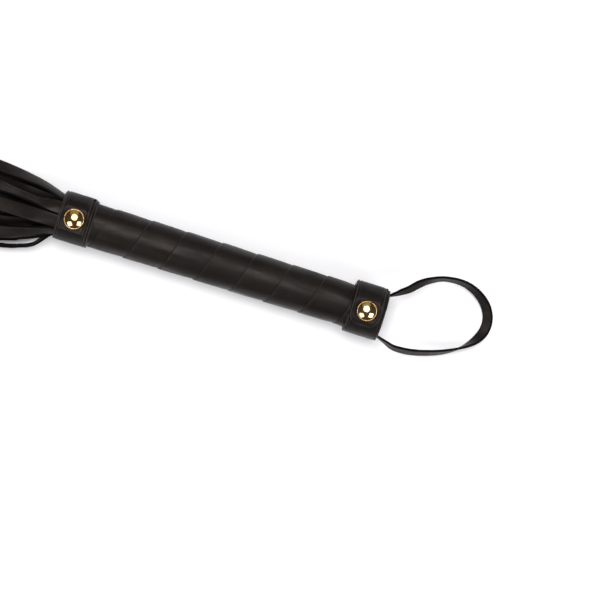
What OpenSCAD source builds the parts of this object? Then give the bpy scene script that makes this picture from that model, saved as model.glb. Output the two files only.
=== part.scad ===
// Short leather flogger: a wrapped grip with a cuff at each end, a wrist strap at the butt and a
// bundle of flat leather tails. Millimetres. The origin is the middle of the grip, on its axis.
// +X runs along the grip to the wrist strap, -X to the tails, and +Z is up.

/* [Grip] */
// Length of the wrapped grip between the two cuffs
grip_l = 154; // [100:1:220]
// Outside diameter of the wrap
grip_d = 25.6; // [24:0.1:32]
// Diameter of the wooden core under the wrap
core_d = 18; // [15:0.5:20]
// Thickness of the wrap strip
wrap_t = 1.35; // [1:0.05:2]
// Distance along the grip from one turn of the wrap to the next
wrap_pitch = 21; // [14:0.5:30]
// How far the +X edge of a turn dips beside the next one
wrap_dip = 0.35; // [0:0.05:0.6]
// Place along the grip where a seam of the wrap crosses the top
wrap_seam_x = 13; // [-20:0.5:20]
// Step from the core down to the neck that fills each cuff
neck_step = 2.6; // [1:0.1:4]
// Distance from the end of the neck to the mouth of its cuff
neck_end = 5; // [3:0.5:8]

/* [Cuffs] */
// Length of each leather cuff
cuff_l = 20; // [18:0.5:26]
// Step from the wrap out to the face of a cuff
cuff_step = 1.1; // [0.6:0.1:2]
// Thickness of the cuff leather
cuff_t = 2.2; // [1.4:0.1:2.5]
// Sideways widening of the butt cuff over the ends of the strap, each side
butt_widen = 1.1; // [0.9:0.1:2]
// Thickness of the tongue that laps over each cuff
tongue_t = 1.2; // [0.8:0.1:1.6]
// Width of the tongue on the butt cuff
butt_tongue_w = 17.4; // [15:0.1:18]
// Reach of the butt tongue past the stud
butt_tongue_reach = 9.3; // [7.5:0.1:11]
// Corner radius at the end of the butt tongue
butt_tongue_corner = 7; // [1:0.5:7.5]
// Width of the tongue on the tail cuff
tail_tongue_w = 15.6; // [15:0.1:18]
// Reach of the tail tongue past the stud
tail_tongue_reach = 7.4; // [7.2:0.1:11]
// Corner radius at the end of the tail tongue
tail_tongue_corner = 2; // [1:0.5:7]
// How far the end disc sits inside the mouth of the butt cuff
disc_recess = 0.8; // [0.3:0.1:2]

/* [Studs] */
// Diameter of the domed stud
stud_d = 12.6; // [9:0.1:14]
// Distance from the grip to the stud on the tail cuff
tail_stud_place = 10.8; // [9:0.1:12]
// Distance from the grip to the stud on the butt cuff
butt_stud_place = 9.3; // [9:0.1:12]
// Height of the dome
stud_h = 3.4; // [2.5:0.1:5]
// Thickness of the dome's sheet metal
stud_wall = 0.8; // [0.5:0.1:1.2]
// Diameter of the nail that holds the stud
nail_d = 2.4; // [1.6:0.1:3]
// Depth of the nail in the wood
nail_bite = 4.5; // [2:0.1:5]

/* [Wrist strap] */
// Width of the strap
strap_w = 6; // [4:0.5:8]
// Thickness of the strap
strap_t = 1.3; // [1:0.1:1.6]
// Length of strap clamped in the butt cuff
strap_grip = 16; // [8:0.5:17]
// Reach of the free loop past the cuff
strap_reach = 60.2; // [40:0.1:90]

/* [Tails] */
// Free length of a tail, from the cuff to its tip
tail_l = 350; // [200:5:600]
// Step in length from one kind of tail to the next shorter one
tail_trim = 4; // [0:0.5:8]
// Width of a tail
tail_w = 8; // [6:0.1:8.2]
// Thickness of a tail
tail_t = 1.2; // [0.8:0.1:1.4]
// How far the bundle spreads, as a multiple of its usual width
tail_spread = 1; // [0.95:0.01:1.2]
// Sideways lean of the bundle as it leaves the cuff
tail_lean = 5; // [0:0.5:10]
// Sideways curve of the bundle, at its tips
tail_curve = 16; // [0:1:40]
// Radius over which the upper tails arch
arch_r = 34; // [28:1:60]

/* [Hidden] */
$fn = 96;

leather = [0.15, 0.145, 0.15];
brass = [0.78, 0.64, 0.36];
steel = [0.70, 0.70, 0.72];
wood = [0.66, 0.50, 0.33];

// Clearances
seat_gap = 0.1;      // between pieces that are packed or glued together
nail_gap = 0.05;     // round a nail
move_gap = 0.3;      // between a moving piece and a fixed one
end_gap = 0.2;       // between pieces that follow each other along the axis

// Radii from the axis out
grip_r = grip_d / 2;
core_r = core_d / 2;
cuff_r = grip_r + cuff_step;
cuff_in = cuff_r - cuff_t;
neck_r = core_r - neck_step;
end_x = grip_l / 2;
mouth_x = end_x + cuff_l;
neck_l = cuff_l - neck_end;
floor_z = -cuff_r;
nail_r = nail_d / 2;
stud_r = stud_d / 2;
tongue_r = cuff_r + tongue_t;
butt_stud_x = end_x + butt_stud_place;
tail_stud_x = -end_x - tail_stud_place;

// Height of the flat that a stud sits on: where its rim meets the round of the tongue
function seat_z(widen) = sqrt(pow(tongue_r, 2) - pow(stud_r - widen, 2));

// Ease from 0 to 1 with level ends
function ease(t) = let (c = max(0, min(1, t))) c * c * (3 - 2 * c);
function mix(a, b, t) = a + (b - a) * t;
function unit(v) = v / norm(v);

// A closed tube through rings of points, all triangles. Point j of a ring faces point per - 1 - j
// across the strip's thickness, so each end closes with a ladder of small triangles.
function quad(a, b, c, d) = [[a, b, c], [a, c, d]];
function flip(faces) = [for (f = faces) [f[2], f[1], f[0]]];
function end_faces(o, per) =
    [for (j = [0 : per / 2 - 2]) each quad(o + j, o + j + 1, o + per - 2 - j, o + per - 1 - j)];
function tube_faces(rings, per) = concat(
    end_faces(0, per),
    [for (i = [0 : rings - 2], j = [0 : per - 1])
        let (k = (j + 1) % per, a = i * per, b = (i + 1) * per)
        each quad(a + k, a + j, b + j, b + k)],
    flip(end_faces((rings - 1) * per, per))
);

// A rod along X between two places
module rod_x(x0, x1, r) {
    translate([x0, 0, 0]) rotate([0, 90, 0]) cylinder(h = x1 - x0, r = r);
}

// A rod along X whose section is a circle drawn out sideways
module wide_rod_x(x0, x1, r, widen) {
    translate([x0, 0, 0]) rotate([90, 0, 90]) linear_extrude(x1 - x0) {
        translate([-widen, 0]) circle(r);
        translate([widen, 0]) circle(r);
        if (widen > 0) translate([-widen, -r]) square([2 * widen, 2 * r]);
    }
}

// ---- Handle: wood, liner and wrap

module handle_core() {
    color(wood) difference() {
        union() {
            rod_x(-end_x, end_x, core_r);
            rod_x(-end_x - neck_l, end_x + neck_l, neck_r);
        }
        for (x = [tail_stud_x, butt_stud_x])
            translate([x, 0, neck_r - nail_bite - 1])
                cylinder(h = nail_bite + 2, r = nail_r + nail_gap, $fn = 32);
    }
}

module grip_liner() {
    color(leather) difference() {
        rod_x(-end_x + seat_gap, end_x - seat_gap, grip_r - wrap_t - seat_gap);
        rod_x(-end_x, end_x, core_r + nail_gap);
    }
}

// One strip wound edge to edge, thinner along its +X edge, cut square at both ends
wrap_sides = 36;
wrap_lead = 1.2;
wrap_end = end_x - seat_gap;
wrap_w = wrap_pitch - seat_gap;
wrap_start_angle = 360 * wrap_lead / wrap_pitch;
wrap_stop_angle = 360 * (2 * wrap_end + wrap_w - wrap_lead) / wrap_pitch;
wrap_turn = 360 * (wrap_seam_x + wrap_end) / wrap_pitch;
wrap_rings = ceil((wrap_stop_angle - wrap_start_angle) / 360 * wrap_sides);

function wrap_ring(angle) =
    let (lead = -wrap_end + wrap_pitch * angle / 360,
         trail = lead - wrap_w,
         x0 = max(trail, -wrap_end),
         x1 = min(lead, wrap_end),
         r_in = grip_r - wrap_t,
         r0 = mix(grip_r, grip_r - wrap_dip, (x0 - trail) / wrap_w),
         r1 = mix(grip_r, grip_r - wrap_dip, (x1 - trail) / wrap_w),
         c = cos(angle - wrap_turn),
         s = sin(angle - wrap_turn))
    [[x1, r_in * s, r_in * c], [x1, r1 * s, r1 * c], [x0, r0 * s, r0 * c], [x0, r_in * s, r_in * c]];

module grip_wrap() {
    span = wrap_stop_angle - wrap_start_angle;
    rings = [for (i = [0 : wrap_rings]) wrap_ring(wrap_start_angle + span * i / wrap_rings)];
    color(leather)
        polyhedron([for (ring = rings, p = ring) p], tube_faces(wrap_rings + 1, 4), convexity = 10);
}

// ---- Cuffs

// Outline of a tongue: straight sides and an end with rounded corners, drawn toward -Y
module tongue_outline(x, w, reach, corner) {
    translate([x - w / 2, -reach + corner]) square([w, reach + 2 * cuff_r]);
    translate([x - w / 2 + corner, -reach]) square([w - 2 * corner, corner]);
    for (side = [-1, 1])
        translate([x + side * (w / 2 - corner), -reach + corner]) circle(corner, $fn = 48);
}

// A cuff with its tongue lapped over the top and a flat, punched seat for the stud
module cuff(x0, widen, stud_x, tongue_w, reach, corner) {
    tongue_low = 2;      // height above the axis where the tongue leaves the cuff
    tongue_shift = 0.4;  // from the stud to the middle of the tongue
    difference() {
        union() {
            wide_rod_x(x0, x0 + cuff_l, cuff_r, widen);
            intersection() {
                wide_rod_x(x0, x0 + cuff_l, tongue_r, widen);
                translate([0, 0, tongue_low]) linear_extrude(2 * cuff_r)
                    tongue_outline(stud_x - tongue_shift, tongue_w, reach, corner);
            }
        }
        wide_rod_x(x0 - 1, x0 + cuff_l + 1, cuff_in, widen);
        translate([stud_x, 0, seat_z(widen)]) cylinder(h = cuff_r, r = stud_r + seat_gap);
        translate([stud_x, 0, 0]) cylinder(h = 2 * cuff_r, r = nail_r + nail_gap, $fn = 32);
    }
}

module tail_cuff() {
    color(leather)
        cuff(-mouth_x, 0, tail_stud_x, tail_tongue_w, tail_tongue_reach, tail_tongue_corner);
}

module butt_cuff() {
    color(leather)
        cuff(end_x, butt_widen, butt_stud_x, butt_tongue_w, butt_tongue_reach, butt_tongue_corner);
}

// ---- Studs

// A hollow dome with a rolled rim and a socket for the nail, base at z = 0
module stud_cap() {
    dome_r = (stud_r * stud_r + stud_h * stud_h) / (2 * stud_h);
    bead = 0.5;
    socket_wall = 1;
    difference() {
        union() {
            intersection() {
                translate([0, 0, stud_h - dome_r]) sphere(dome_r);
                cylinder(h = stud_h, r = stud_r - bead / 2);
            }
            rotate_extrude() translate([stud_r - bead, bead]) circle(bead, $fn = 32);
        }
        difference() {
            translate([0, 0, stud_h - dome_r]) intersection() {
                sphere(dome_r - stud_wall);
                translate([0, 0, dome_r - stud_h - 1])
                    cylinder(h = dome_r, r = stud_r - 2 * bead - stud_wall / 2);
            }
            cylinder(h = stud_h, r = nail_r + socket_wall);
        }
        translate([0, 0, -1]) cylinder(h = stud_h - stud_wall, r = nail_r + nail_gap, $fn = 32);
    }
}

// A plain nail with a tapered point, from a depth in the core up into the dome on its seat
module stud_nail(seat) {
    point = 1.6;
    point_r = 0.3;
    rise = 1.6;
    low_z = neck_r - nail_bite;
    top_z = seat + rise;
    translate([0, 0, low_z]) cylinder(h = point, r1 = point_r, r2 = nail_r, $fn = 32);
    translate([0, 0, low_z + point]) cylinder(h = top_z - low_z - point, r = nail_r, $fn = 32);
}

module tail_stud_cap() {
    color(brass) translate([tail_stud_x, 0, seat_z(0) + nail_gap]) stud_cap();
}

module tail_stud_nail() {
    color(steel) translate([tail_stud_x, 0, 0]) stud_nail(seat_z(0));
}

module butt_stud_cap() {
    color(brass) translate([butt_stud_x, 0, seat_z(butt_widen) + nail_gap]) stud_cap();
}

module butt_stud_nail() {
    color(steel) translate([butt_stud_x, 0, 0]) stud_nail(seat_z(butt_widen));
}

// ---- Inside the butt cuff

// Middle of the strap's thickness where it lies in the cuff, either side of the axis: its edges
// touch the round of the cuff
strap_in = sqrt(pow(cuff_in, 2) - pow(strap_w / 2, 2)) + butt_widen - strap_t / 2 - nail_gap;
pack_end = end_x + neck_l + end_gap;

module strap_slots(x0, x1) {
    slot_in = strap_in - strap_t / 2 - seat_gap;
    for (side = [-1, 1])
        translate([x0, side > 0 ? slot_in : -slot_in - cuff_r, -strap_w / 2 - seat_gap])
            cube([x1 - x0, cuff_r, strap_w + 2 * seat_gap]);
}

module butt_packing() {
    color(leather) difference() {
        wide_rod_x(end_x + end_gap, pack_end, cuff_in - seat_gap, butt_widen);
        rod_x(end_x, pack_end + 1, neck_r + seat_gap);
        strap_slots(end_x, pack_end + 1);
        translate([butt_stud_x, 0, 0]) cylinder(h = cuff_r, r = nail_r + nail_gap, $fn = 32);
    }
}

module butt_end_disc() {
    color(leather) difference() {
        wide_rod_x(pack_end + end_gap, mouth_x - disc_recess, cuff_in - seat_gap, butt_widen);
        strap_slots(end_x, mouth_x);
    }
}

// ---- Wrist strap

// The loop swings about a line across both strap ends, just outside the cuff
loop_x = mouth_x + strap_w / 2 + move_gap;
left_flare = 0.55;
right_flare = 0.30;

// A clamped end: straight in the cuff, flaring outside it, with a round tip on the swing line
module strap_end(side, flare) {
    tip_x = loop_x + strap_w / 2;
    out = strap_in + flare * (tip_x - mouth_x);
    intersection() {
        translate([0, 0, -strap_w / 2]) linear_extrude(strap_w) polygon([
            [mouth_x - strap_grip, side * (strap_in - strap_t / 2)],
            [mouth_x, side * (strap_in - strap_t / 2)],
            [tip_x, side * (out - strap_t / 2)],
            [tip_x, side * (out + strap_t / 2)],
            [mouth_x, side * (strap_in + strap_t / 2)],
            [mouth_x - strap_grip, side * (strap_in + strap_t / 2)]
        ]);
        union() {
            translate([mouth_x - strap_grip, -2 * cuff_r, -strap_w / 2])
                cube([loop_x - mouth_x + strap_grip, 4 * cuff_r, strap_w]);
            translate([loop_x, 0, 0]) rotate([90, 0, 0])
                cylinder(h = 4 * cuff_r, r = strap_w / 2, center = true);
        }
    }
}

module strap_end_left() {
    color(leather) strap_end(1, left_flare);
}

module strap_end_right() {
    color(leather) strap_end(-1, right_flare);
}

// Route of the free loop: share of its reach, side as a multiple of the clamped strap's, drop as a
// share of the way from the axis to the floor, and how far the strap's upper edge is turned from
// flat and outward (0) through upright (90)
strap_start = loop_x + strap_w / 2 + move_gap - mouth_x;
strap_route = [
    [0.000, 1 + left_flare * strap_start / strap_in, 0, 90],
    [0.071, 1.65, 0.03, 78],
    [0.153, 2.02, 0.10, 66],
    [0.250, 2.34, 0.19, 72],
    [0.396, 2.64, 0.36, 80],
    [0.563, 2.74, 0.54, 74],
    [0.705, 2.65, 0.70, 62],
    [0.836, 2.37, 0.84, 46],
    [0.940, 1.94, 0.95, 32],
    [0.998, 1.39, 1.00, 22],
    [1.000, 0.84, 1.00, 20],
    [0.953, 0.33, 1.00, 28],
    [0.866, -0.14, 0.98, 58],
    [0.742, -0.55, 0.92, 88],
    [0.591, -0.89, 0.75, 104],
    [0.420, -1.15, 0.52, 114],
    [0.267, -1.30, 0.31, 114],
    [0.146, -1.34, 0.17, 106],
    [0.067, -1.31, 0.07, 98],
    [0.000, -1 - right_flare * strap_start / strap_in, 0, 90]
];
strap_steps = 2;
strap_last = len(strap_route) - 1;
strap_rings = strap_last * strap_steps;
strap_tip = 0.2;      // half the width of its rounded tips, as a share of the whole

// Height of the strap's middle where it lies on the floor
function strap_low(lean) =
    floor_z + abs(sin(lean)) * strap_w / 2 + abs(cos(lean)) * strap_t / 2 + seat_gap;
strap_path = [for (p = strap_route)
    [strap_start + p[0] * (strap_reach - strap_start), p[1] * strap_in, p[2] * strap_low(p[3]), p[3]]];

// Smooth curve through the route's points
function route_at(t) =
    let (i = min(floor(t), strap_last - 1),
         f = t - i,
         p0 = strap_path[max(i - 1, 0)],
         p1 = strap_path[i],
         p2 = strap_path[i + 1],
         p3 = strap_path[min(i + 2, strap_last)])
    0.5 * (2 * p1 + (p2 - p0) * f + (2 * p0 - 5 * p1 + 4 * p2 - p3) * f * f
        + (3 * p1 - p0 - 3 * p2 + p3) * f * f * f);

function place(p) = [mouth_x + p[0], p[1], p[2]];

function strap_ring(t) =
    let (here = route_at(t),
         at_start = t <= 0,
         at_end = t >= strap_last,
         ahead = place(route_at(min(t + 0.1, strap_last))) - place(route_at(max(t - 0.1, 0))),
         along = at_start ? [1, 0, 0] : at_end ? [-1, 0, 0] : unit(ahead),
         out = unit([-along[1], along[0], 0]),
         up = unit([0, 0, 1] - along[2] * along),
         wide = cos(here[3]) * out + sin(here[3]) * up,
         thick = cross(along, wide) * strap_t / 2,
         half = (at_start || at_end ? strap_tip : 0.5) * strap_w * wide,
         c = place(here))
    [c - half - thick, c + half - thick, c + half + thick, c - half + thick];

module wrist_strap() {
    rings = [for (i = [0 : strap_rings]) strap_ring(i / strap_steps)];
    color(leather)
        polyhedron([for (ring = rings, p = ring) p], tube_faces(strap_rings + 1, 4), convexity = 10);
}

// ---- Tails

// The bundle turns about a point just outside its cuff: the rolled roots end inside a ball round
// that point and the free tails start outside it
swing_out = 6;
ball_inset = 0.5;    // from the mouth in to where the ball takes over from the rolls
swing_x = -mouth_x - swing_out;
root_r = cuff_in - move_gap;
swing_r = sqrt(root_r * root_r + pow(swing_out + ball_inset, 2));
root_mid_t = 2.5;    // from the neck out to the joint between the two outer rolls
first_gap = 1.6;     // from the ball to where the tails are spaced out
layer_gap = 0.35;
arch_lift = 0.3;
layer_pitch = tail_t + layer_gap;

// One of the rolls that the tails are cut from
module root_roll(x0, r_out, r_in) {
    color(leather) intersection() {
        difference() {
            rod_x(swing_x - swing_r, x0, r_out);
            if (r_in > 0) rod_x(swing_x - swing_r - 1, x0 + 1, r_in);
            if (r_in > 0) translate([tail_stud_x, 0, 0])
                cylinder(h = cuff_r, r = nail_r + nail_gap, $fn = 32);
        }
        union() {
            rod_x(swing_x, x0, cuff_r);
            translate([swing_x, 0, 0]) rotate([0, 90, 0]) sphere(swing_r);
        }
    }
}

module tail_root_outer() {
    root_roll(-end_x - end_gap, root_r, neck_r + root_mid_t + seat_gap);
}

module tail_root_middle() {
    root_roll(-end_x - end_gap, neck_r + root_mid_t, neck_r + seat_gap);
}

module tail_root_inner() {
    root_roll(-end_x - neck_l - end_gap, neck_r - seat_gap, 0);
}

// The tails lie in rings in the cuff, 4 + 3 + 2 + 1 in the upper half and the same below. Outside
// it the lower rings flatten on the floor and the upper ones arch over them, and the two nearest
// the -Y side stand on edge.
ring_counts = [4, 3, 2, 1];
tail_rings = 20;
first_flat = swing_r + swing_out + first_gap;
settle_start = 12;
settle_l = 38;

// Sideways place of each tail of a ring where the bundle has spread, in tail widths, -Y side first
upper_fan = [[-1.88, 0.12, 1.31, 2.5], [-1.25, 0.06, 1.62], [-0.75, 0.88], [0.06]];
lower_fan = [[-3.44, -0.81, 0.69, 2.19], [-2.94, 0.12, 1.62], [-0.56, 0.88], [0.12]];
edge_turn = 86;      // lean of the two that stand on edge
edge_hop = 1.7;      // lift of the inner one as it passes its neighbour
wander = 0.4;        // how far a tail wanders from its line
wander_rate = 1.3;   // degrees of that wave per millimetre
wander_step = 137;   // degrees of it from one tail to the next
tip_slant = 0.4;     // slope of the cut across a tip

function ring_r(k) = root_r - seat_gap - tail_t / 2 - k * layer_pitch;
function on_edge(upper, k, j) = !upper && j == 0 && k <= 1;
function settled(s, share) = ease((s - settle_start) / (settle_l * share));
function settle_share(upper, edge) = upper ? 1 : edge ? 0.55 : 0.7;
function side_shift(s) =
    -tail_lean * settled(s, 1) - tail_curve * pow(max(s - first_flat, 0) / tail_l, 2);

// Distance of a tail's middle from the middle of its ring, round the ring: it spreads, and
// wanders a little along its length
function tail_u(upper, k, j, s, seed) =
    let (t = settled(s, settle_share(upper, on_edge(upper, k, j))),
         packed = (j - (ring_counts[k] - 1) / 2) * PI * ring_r(k) / ring_counts[k],
         fan = (upper ? upper_fan : lower_fan)[k][j] * tail_w * tail_spread)
    mix(packed, fan + wander * sin(seed * wander_step + s * wander_rate), t);

// A point of a tail: v across it and h through its thickness, s past the mouth of the cuff
function tail_yz(upper, k, j, s, v, h, seed) =
    let (edge = on_edge(upper, k, j),
         t = settled(s, settle_share(upper, edge)),
         r_k = ring_r(k),
         flat_r = upper ? t * (arch_r - ring_r(0)) : ring_r(0) * t / (1.001 - t),
         r = r_k + flat_r,
         far_low = floor_z + tail_t / 2,
         far_high = far_low + (2 * len(ring_counts) - 1) * layer_pitch + arch_lift,
         apex = upper ? mix(r_k, far_high - k * layer_pitch, t)
                      : mix(-r_k, far_low + k * layer_pitch, t),
         u = tail_u(upper, k, j, s, seed),
         start_a = tail_u(upper, k, j, 0, seed) / r_k * 180 / PI,
         edge_z = floor_z + tail_w / 2 * sin(edge_turn) + tail_t / 2 * cos(edge_turn),
         a = edge ? mix(start_a, -edge_turn, t) : u / r * 180 / PI,
         mid_y = edge ? mix(r_k * sin(start_a), lower_fan[k][j] * tail_w * tail_spread, t)
                      : r * sin(a),
         mid_z = edge ? mix(-r_k * cos(start_a), edge_z, t) + k * edge_hop * sin(180 * t)
                      : upper ? apex + r * (cos(a) - 1) : apex - r * (cos(a) - 1),
         bend = v / r * 180 / PI,
         across = (r + h) * sin(bend),
         rise = (r + h) * cos(bend) - r,
         side = across * cos(a) + rise * sin(a),
         out = rise * cos(a) - across * sin(a))
    [side_shift(s) + mid_y + side, upper ? mid_z + out : mid_z - out];

function tail_section(w) = [
    [-w / 2, -tail_t / 2], [-w / 6, -tail_t / 2], [w / 6, -tail_t / 2], [w / 2, -tail_t / 2],
    [w / 2, tail_t / 2], [w / 6, tail_t / 2], [-w / 6, tail_t / 2], [-w / 2, tail_t / 2]
];

// Stations along a tail: close together near the cuff
function station(i, l) = first_flat + (l - first_flat) * pow((i - 1) / (tail_rings - 1), 1.6);

function tail_ring(i, upper, k, j, seed) =
    let (l = tail_l - tail_trim * ((seed * 7) % 4))
    [for (q = tail_section(tail_w))
        let (s = i == 0 ? 0 : station(i, l),
             yz = tail_yz(upper, k, j, s, q[0], q[1], seed),
             ball = sqrt(pow(swing_r + move_gap, 2) - yz[0] * yz[0] - yz[1] * yz[1]),
             slant = i == tail_rings ? tip_slant * q[0] : 0)
        [i == 0 ? swing_x - ball : -mouth_x - s + slant, yz[0], yz[1]]];

// Tail number n, counted from the outer ring in: 1 to 10 above, 11 to 20 below
function tail_half(n) = n <= 10 ? n : n - 10;
function tail_layer(m) = m <= 4 ? 0 : m <= 7 ? 1 : m <= 9 ? 2 : 3;
function tail_slot(m) = m <= 4 ? m - 1 : m <= 7 ? m - 5 : m <= 9 ? m - 8 : 0;

module tail(n) {
    upper = n <= 10;
    m = tail_half(n);
    rings = [for (i = [0 : tail_rings]) tail_ring(i, upper, tail_layer(m), tail_slot(m), n)];
    points = [for (ring = rings, p = upper ? ring : [for (q = [7 : -1 : 0]) ring[q]]) p];
    color(leather) polyhedron(points, tube_faces(tail_rings + 1, 8), convexity = 10);
}

handle_core();
grip_liner();
grip_wrap();
tail_cuff();
butt_cuff();
tail_stud_cap();
tail_stud_nail();
butt_stud_cap();
butt_stud_nail();
butt_packing();
butt_end_disc();
strap_end_left();
strap_end_right();
wrist_strap();
tail_root_outer();
tail_root_middle();
tail_root_inner();
tail(1);  // tail_01
tail(2);  // tail_02
tail(3);  // tail_03
tail(4);  // tail_04
tail(5);  // tail_05
tail(6);  // tail_06
tail(7);  // tail_07
tail(8);  // tail_08
tail(9);  // tail_09
tail(10);  // tail_10
tail(11);  // tail_11
tail(12);  // tail_12
tail(13);  // tail_13
tail(14);  // tail_14
tail(15);  // tail_15
tail(16);  // tail_16
tail(17);  // tail_17
tail(18);  // tail_18
tail(19);  // tail_19
tail(20);  // tail_20
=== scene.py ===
"""Looks of the short leather flogger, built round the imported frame. Lengths are millimetres until
mesh_piece() turns them into metres. The frame's +X runs along the grip to the wrist strap."""
import math

import bpy
import bmesh
from mathutils import Matrix, Vector, noise


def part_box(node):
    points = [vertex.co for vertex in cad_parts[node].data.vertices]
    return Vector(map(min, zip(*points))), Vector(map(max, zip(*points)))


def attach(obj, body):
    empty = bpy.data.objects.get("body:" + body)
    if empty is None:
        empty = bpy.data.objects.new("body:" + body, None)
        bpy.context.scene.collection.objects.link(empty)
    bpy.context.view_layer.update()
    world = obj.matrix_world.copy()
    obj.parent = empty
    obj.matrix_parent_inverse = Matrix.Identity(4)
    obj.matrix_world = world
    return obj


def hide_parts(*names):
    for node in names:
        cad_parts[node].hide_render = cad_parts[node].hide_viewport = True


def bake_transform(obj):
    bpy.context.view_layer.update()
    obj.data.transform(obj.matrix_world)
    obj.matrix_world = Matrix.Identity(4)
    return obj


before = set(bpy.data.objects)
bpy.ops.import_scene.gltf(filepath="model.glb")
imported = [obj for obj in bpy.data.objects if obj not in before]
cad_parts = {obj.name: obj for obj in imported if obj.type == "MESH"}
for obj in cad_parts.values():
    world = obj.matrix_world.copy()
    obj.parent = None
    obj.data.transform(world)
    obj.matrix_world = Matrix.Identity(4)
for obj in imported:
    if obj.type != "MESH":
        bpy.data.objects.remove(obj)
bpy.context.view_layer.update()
MM = 0.001


def box_mm(node):
    low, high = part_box(node)
    return low / MM, high / MM


# ---- Sizes read from the frame

GRIP_LOW, GRIP_HIGH = box_mm("grip_wrap")
TAIL_CUFF_LOW, TAIL_CUFF_HIGH = box_mm("tail_cuff")
BUTT_CUFF_LOW, BUTT_CUFF_HIGH = box_mm("butt_cuff")
GRIP_R = (GRIP_HIGH.z - GRIP_LOW.z) / 2
CUFF_R = -TAIL_CUFF_LOW.z
TONGUE_R = TAIL_CUFF_HIGH.z
TONGUE_T = TONGUE_R - CUFF_R
BUTT_WIDEN = -BUTT_CUFF_LOW.y - CUFF_R
FLOOR_Z = -CUFF_R
LOWEST = FLOOR_Z + 0.01     # no point of a tail or of the wrist strap lies lower
GRIP_END = BUTT_CUFF_LOW.x
MOUTH_X = BUTT_CUFF_HIGH.x

# ---- Sizes that no box in the frame gives, as in the part's source

CUFF_T = 2.2
CUFF_IN = CUFF_R - CUFF_T
WRAP_PITCH = 21.0
WRAP_SEAM_X = 13.0
STRAP_W, STRAP_T = 6.0, 1.3
TAIL_W, TAIL_T = 8.0, 1.2
LAYER_PITCH = 1.55


def ease(t):
    t = max(0.0, min(1.0, t))
    return t * t * (3 - 2 * t)


def mix(a, b, t):
    return a + (b - a) * t


def wobble(x, y=0.0, z=0.0):
    """Smooth repeatable noise, about -1 to 1."""
    return noise.noise(Vector((x, y, z)))


# ---- Materials

class Surface:
    """A material being built. The ways to add a node to it return the node's output."""

    def __init__(self, name):
        self.material = bpy.data.materials.new(name)
        self.material.use_nodes = True
        self.nodes = self.material.node_tree.nodes
        self.links = self.material.node_tree.links
        self.place = self.nodes.new("ShaderNodeTexCoord").outputs["Object"]

    def give(self, socket, value):
        if isinstance(value, bpy.types.NodeSocket):
            self.links.new(value, socket)
        else:
            socket.default_value = value

    def give_all(self, node, inputs):
        """Links or sets a node's inputs, whose names are written with _ for each space."""
        for name, value in inputs.items():
            self.give(node.inputs[name.replace("_", " ")], value)

    def add(self, kind, output, **inputs):
        node = self.nodes.new(kind)
        self.give_all(node, inputs)
        return node.outputs[output]

    def stretched(self, share):
        """Object coordinates that draw a texture out along the grip."""
        return self.add("ShaderNodeMapping", "Vector", Vector=self.place, Scale=(share, 1, 1))

    def noise(self, scale, place=None, **settings):
        return self.add("ShaderNodeTexNoise", "Fac", Vector=place or self.place, Scale=scale,
                        **settings)

    def calculate(self, operation, first, second):
        node = self.nodes.new("ShaderNodeMath")
        node.operation = operation
        self.give(node.inputs[0], first)
        self.give(node.inputs[1], second)
        return node.outputs[0]

    def ramp(self, share, low, high, low_at=0.3, high_at=0.7):
        node = self.nodes.new("ShaderNodeValToRGB")
        for end, color, at in zip(node.color_ramp.elements, (low, high), (low_at, high_at)):
            end.position = at
            end.color = (*color, 1)
        self.links.new(share, node.inputs["Fac"])
        return node.outputs["Color"]

    def remap(self, value, low, high, **limits):
        return self.add("ShaderNodeMapRange", "Result", Value=value, To_Min=low, To_Max=high,
                        **limits)

    def finish(self, **inputs):
        self.give_all(self.nodes["Principled BSDF"], inputs)
        return self.material


PORES = 1500            # grain of all leather, per metre
GRAIN_DEPTH = 0.00006   # metres


def leather(name, dark, light, rough=(0.38, 0.52), pebble=900, shine=0.17, edge_highlight=0.7):
    """Dyed leather: pebbled grain with fine pores, cloudy colour, gloss in streaks drawn out along
    the grip, and a painted highlight that makes edges and corners paler."""
    surface = Surface(name)
    streaks = surface.noise(110, surface.stretched(0.25), Detail=5, Roughness=0.65)
    cloud = surface.noise(70, Detail=4, Roughness=0.6)
    patches = surface.calculate("MULTIPLY", surface.calculate("ADD", cloud, streaks), 0.5)
    dye = surface.ramp(patches, [c * 0.7 for c in dark], [c * 1.3 for c in light], 0.38, 0.62)
    # Painted highlight: where pointiness finds an edge or a corner, the colour is mixed toward a
    # paler one.
    corners = surface.add("ShaderNodeNewGeometry", "Pointiness")
    edge_highlight_mask = surface.ramp(corners, (0, 0, 0), (1, 1, 1), 0.51, 0.58)
    edge_highlight_color = (*(c * 7 + 0.032 for c in light), 1)
    color = surface.add("ShaderNodeMixRGB", "Color", Color1=dye, Color2=edge_highlight_color,
                        Fac=surface.calculate("MULTIPLY", edge_highlight_mask, edge_highlight))

    cells = surface.add("ShaderNodeTexVoronoi", "Distance", Vector=surface.place, Scale=pebble)
    pores = surface.noise(PORES, Detail=3, Roughness=0.7)
    creases = surface.noise(220, Detail=2, Distortion=0.8)
    fine = surface.calculate("ADD", surface.calculate("MULTIPLY", cells, 0.5), pores)
    height = surface.calculate("ADD", fine, surface.calculate("MULTIPLY", creases, 3.0))
    relief = surface.add("ShaderNodeBump", "Normal", Strength=0.5, Distance=GRAIN_DEPTH,
                         Height=height)
    gloss = surface.remap(streaks, rough[1] * 1.12, rough[0] * 0.85, From_Min=0.36, From_Max=0.64)
    return surface.finish(Base_Color=color, Normal=relief, Roughness=gloss,
                          Specular_IOR_Level=shine, Specular_Tint=(1.0, 0.88, 0.81, 1))


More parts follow.
